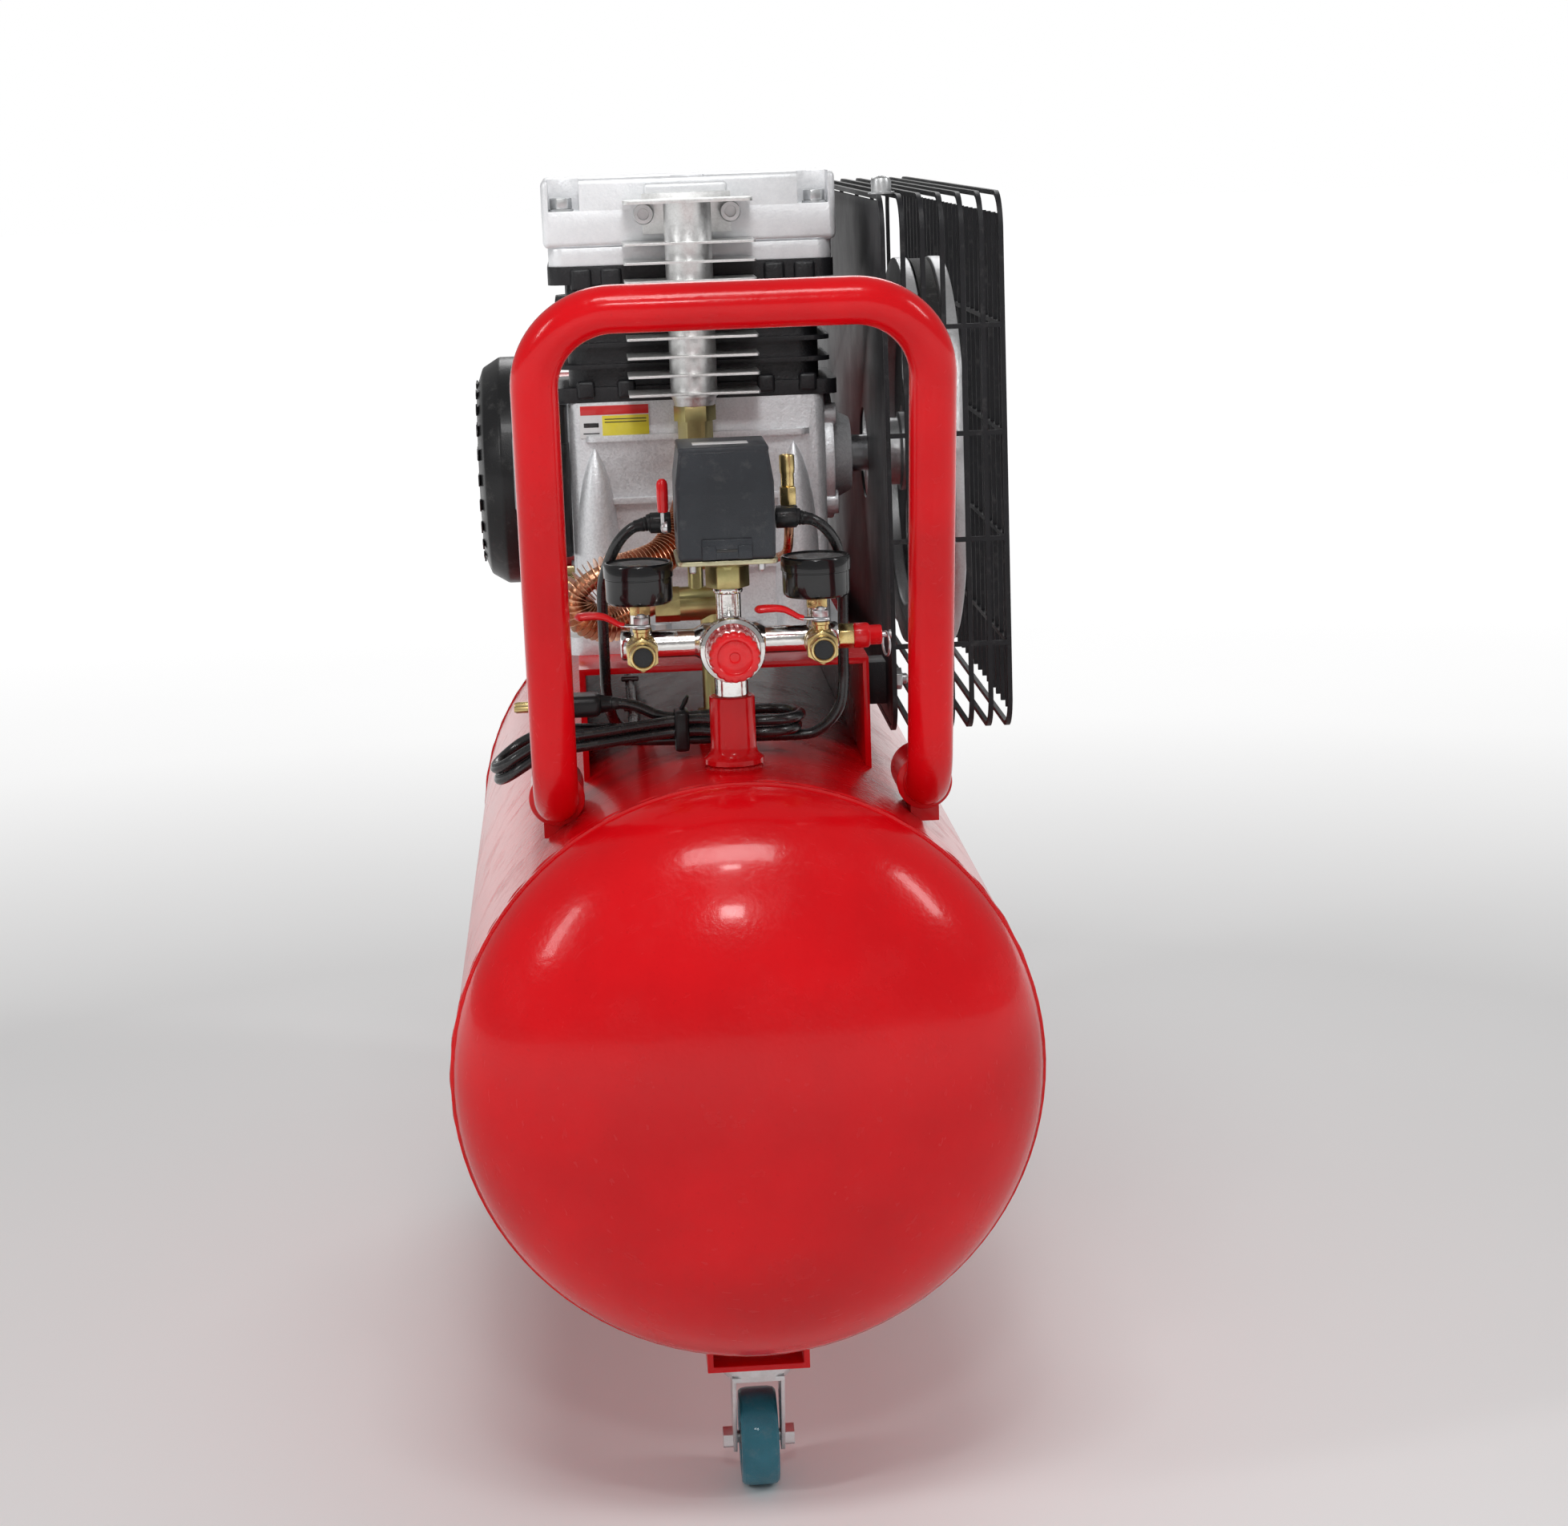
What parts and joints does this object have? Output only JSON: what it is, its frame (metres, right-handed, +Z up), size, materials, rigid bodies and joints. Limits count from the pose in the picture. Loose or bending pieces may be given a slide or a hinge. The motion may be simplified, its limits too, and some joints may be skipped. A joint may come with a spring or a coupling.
{
  "type": "belt-driven air compressor",
  "caption": "Portable belt-driven air compressor: twin-cylinder pump and electric motor on a horizontal tank with handle, caster and wheels.",
  "frame": {"origin": "on the floor under the middle of the tank", "axes": "+Y along the tank from the handle end to the rear wheels, +Z up, +X towards the belt guard"},
  "size_m": [0.3699, 0.99, 0.857],
  "materials": {
    "red_paint": "glossy red paint with a slight orange-peel",
    "zinc_steel": "zinc-plated steel",
    "blue_polyurethane": "satin moulded tread",
    "black_rubber": "smooth black rubber and PVC",
    "cast_aluminium": "silver-coated casting with a fine grain",
    "machined_steel": "ground steel",
    "black_cast_iron": "black coated casting",
    "silver_cast_iron": "silver-painted casting",
    "copper": "bright copper",
    "brass": "machined brass with olive passivation",
    "black_plastic": "moulded black plastic",
    "grey_plastic": "textured dark grey plastic",
    "black_painted_wire": "black powder coat",
    "chrome_plate": "chrome plate",
    "red_plastic": "glossy red vinyl and plastic",
    "needle_paint": "black paint"
  },
  "bodies": {
    "root": {"tank_shell": "red_paint", "tank_heads": "red_paint", "tank_weldments": "red_paint", "handle": "red_paint", "platform": "red_paint", "wheel_brackets": "red_paint", "rear_axle": "zinc_steel", "crankcase": "cast_aluminium", "bearing_housing": "cast_aluminium", "main_bearings": "machined_steel", "connecting_rods": "cast_aluminium", "pistons": "cast_aluminium", "cylinder_block": "black_cast_iron", "valve_plate": "cast_aluminium", "cylinder_head": "cast_aluminium", "head_bolts": "zinc_steel", "oil_breather": "zinc_steel", "aftercooler": "cast_aluminium", "finned_pipe": "copper", "check_valve": "brass", "unloader_tube": "copper", "v_belt": "black_rubber", "motor_housing": "red_paint", "motor_end_shields": "cast_aluminium", "fan_cowl": "black_plastic", "capacitor_box": "grey_plastic", "mounting_bolts": "zinc_steel", "guard_back_plate": "black_painted_wire", "guard_cage": "black_painted_wire", "manifold": "chrome_plate", "regulator_body": "chrome_plate", "gauge_cases": "black_plastic", "valve_bodies": "brass", "safety_valve": "red_plastic", "switch_base": "zinc_steel", "switch_cover": "grey_plastic", "unloader_valve": "brass", "cable_gland": "black_rubber", "motor_cable": "black_rubber", "drain_valve": "brass", "mains_cord": "black_rubber", "mains_cord_hank": "black_rubber", "mains_plug": "black_rubber"},
    "caster_swivel": {"caster_fork": "zinc_steel"},
    "caster_roller": {"caster_wheel": "blue_polyurethane"},
    "left_wheel": {"rear_wheel_left": "black_rubber"},
    "right_wheel": {"rear_wheel_right": "black_rubber"},
    "crank": {"crankshaft": "machined_steel", "flywheel": "silver_cast_iron"},
    "motor_shaft": {"motor_rotor": "machined_steel", "motor_pulley": "silver_cast_iron", "cooling_fan": "black_plastic"},
    "power_lever": {"switch_lever": "red_plastic"},
    "pressure_knob": {"regulator_knob": "red_plastic"},
    "left_valve_lever": {"valve_lever_left": "red_plastic"},
    "right_valve_lever": {"valve_lever_right": "red_plastic"},
    "relief_ring": {"safety_pull_ring": "zinc_steel"},
    "left_needle": {"gauge_needle_left": "needle_paint"},
    "right_needle": {"gauge_needle_right": "needle_paint"},
    "drain_tap": {"drain_knob": "brass"}
  },
  "joints": [
    {"name": "caster_swivel_turn", "type": "hinge", "parent": "root", "child": "caster_swivel", "pos_m": [0, -0.345, 0.092], "axis": [0, 0, 1], "continuous": true},
    {"name": "caster_roller_spin", "type": "hinge", "parent": "caster_swivel", "child": "caster_roller", "pos_m": [0, -0.333, 0.032], "axis": [1, 0, 0], "continuous": true},
    {"name": "left_wheel_spin", "type": "hinge", "parent": "root", "child": "left_wheel", "pos_m": [-0.143, 0.3, 0.075], "axis": [1, 0, 0], "continuous": true},
    {"name": "right_wheel_spin", "type": "hinge", "parent": "root", "child": "right_wheel", "pos_m": [0.143, 0.3, 0.075], "axis": [1, 0, 0], "continuous": true},
    {"name": "crank_spin", "type": "hinge", "parent": "root", "child": "crank", "pos_m": [0, -0.12, 0.656], "axis": [1, 0, 0], "continuous": true},
    {"name": "motor_spin", "type": "hinge", "parent": "root", "child": "motor_shaft", "pos_m": [0, 0.25, 0.615], "axis": [1, 0, 0], "continuous": true},
    {"name": "power_lever_turn", "type": "hinge", "parent": "root", "child": "power_lever", "pos_m": [-0.037, -0.37, 0.645], "axis": [1, 0, 0], "range_deg": [0, 30]},
    {"name": "pressure_knob_turn", "type": "hinge", "parent": "root", "child": "pressure_knob", "pos_m": [0, -0.404, 0.566], "axis": [0, -1, 0], "range_deg": [-540, 540]},
    {"name": "left_valve_turn", "type": "hinge", "parent": "root", "child": "left_valve_lever", "pos_m": [-0.055, -0.38, 0.581], "axis": [0, 0, 1], "range_deg": [0, 90]},
    {"name": "right_valve_turn", "type": "hinge", "parent": "root", "child": "right_valve_lever", "pos_m": [0.055, -0.38, 0.581], "axis": [0, 0, 1], "range_deg": [0, 90]},
    {"name": "relief_ring_pull", "type": "slide", "parent": "root", "child": "relief_ring", "axis": [1, 0, 0], "range_m": [0, 0.004], "stiffness_N_per_m": 300},
    {"name": "left_needle_turn", "type": "hinge", "parent": "root", "child": "left_needle", "pos_m": [-0.055, -0.35, 0.61], "axis": [0, 0, -1], "range_deg": [0, 270], "stiffness_Nm_per_rad": 0.0002},
    {"name": "right_needle_turn", "type": "hinge", "parent": "root", "child": "right_needle", "pos_m": [0.055, -0.35, 0.61], "axis": [0, 0, -1], "range_deg": [0, 270], "stiffness_Nm_per_rad": 0.0002},
    {"name": "drain_tap_turn", "type": "hinge", "parent": "root", "child": "drain_tap", "pos_m": [0, 0, 0.085], "axis": [0, 0, -1], "range_deg": [0, 360]}
  ],
  "couplings": [
    {"joint": "motor_spin", "follows": "crank_spin", "ratio": 3.0976}
  ]
}
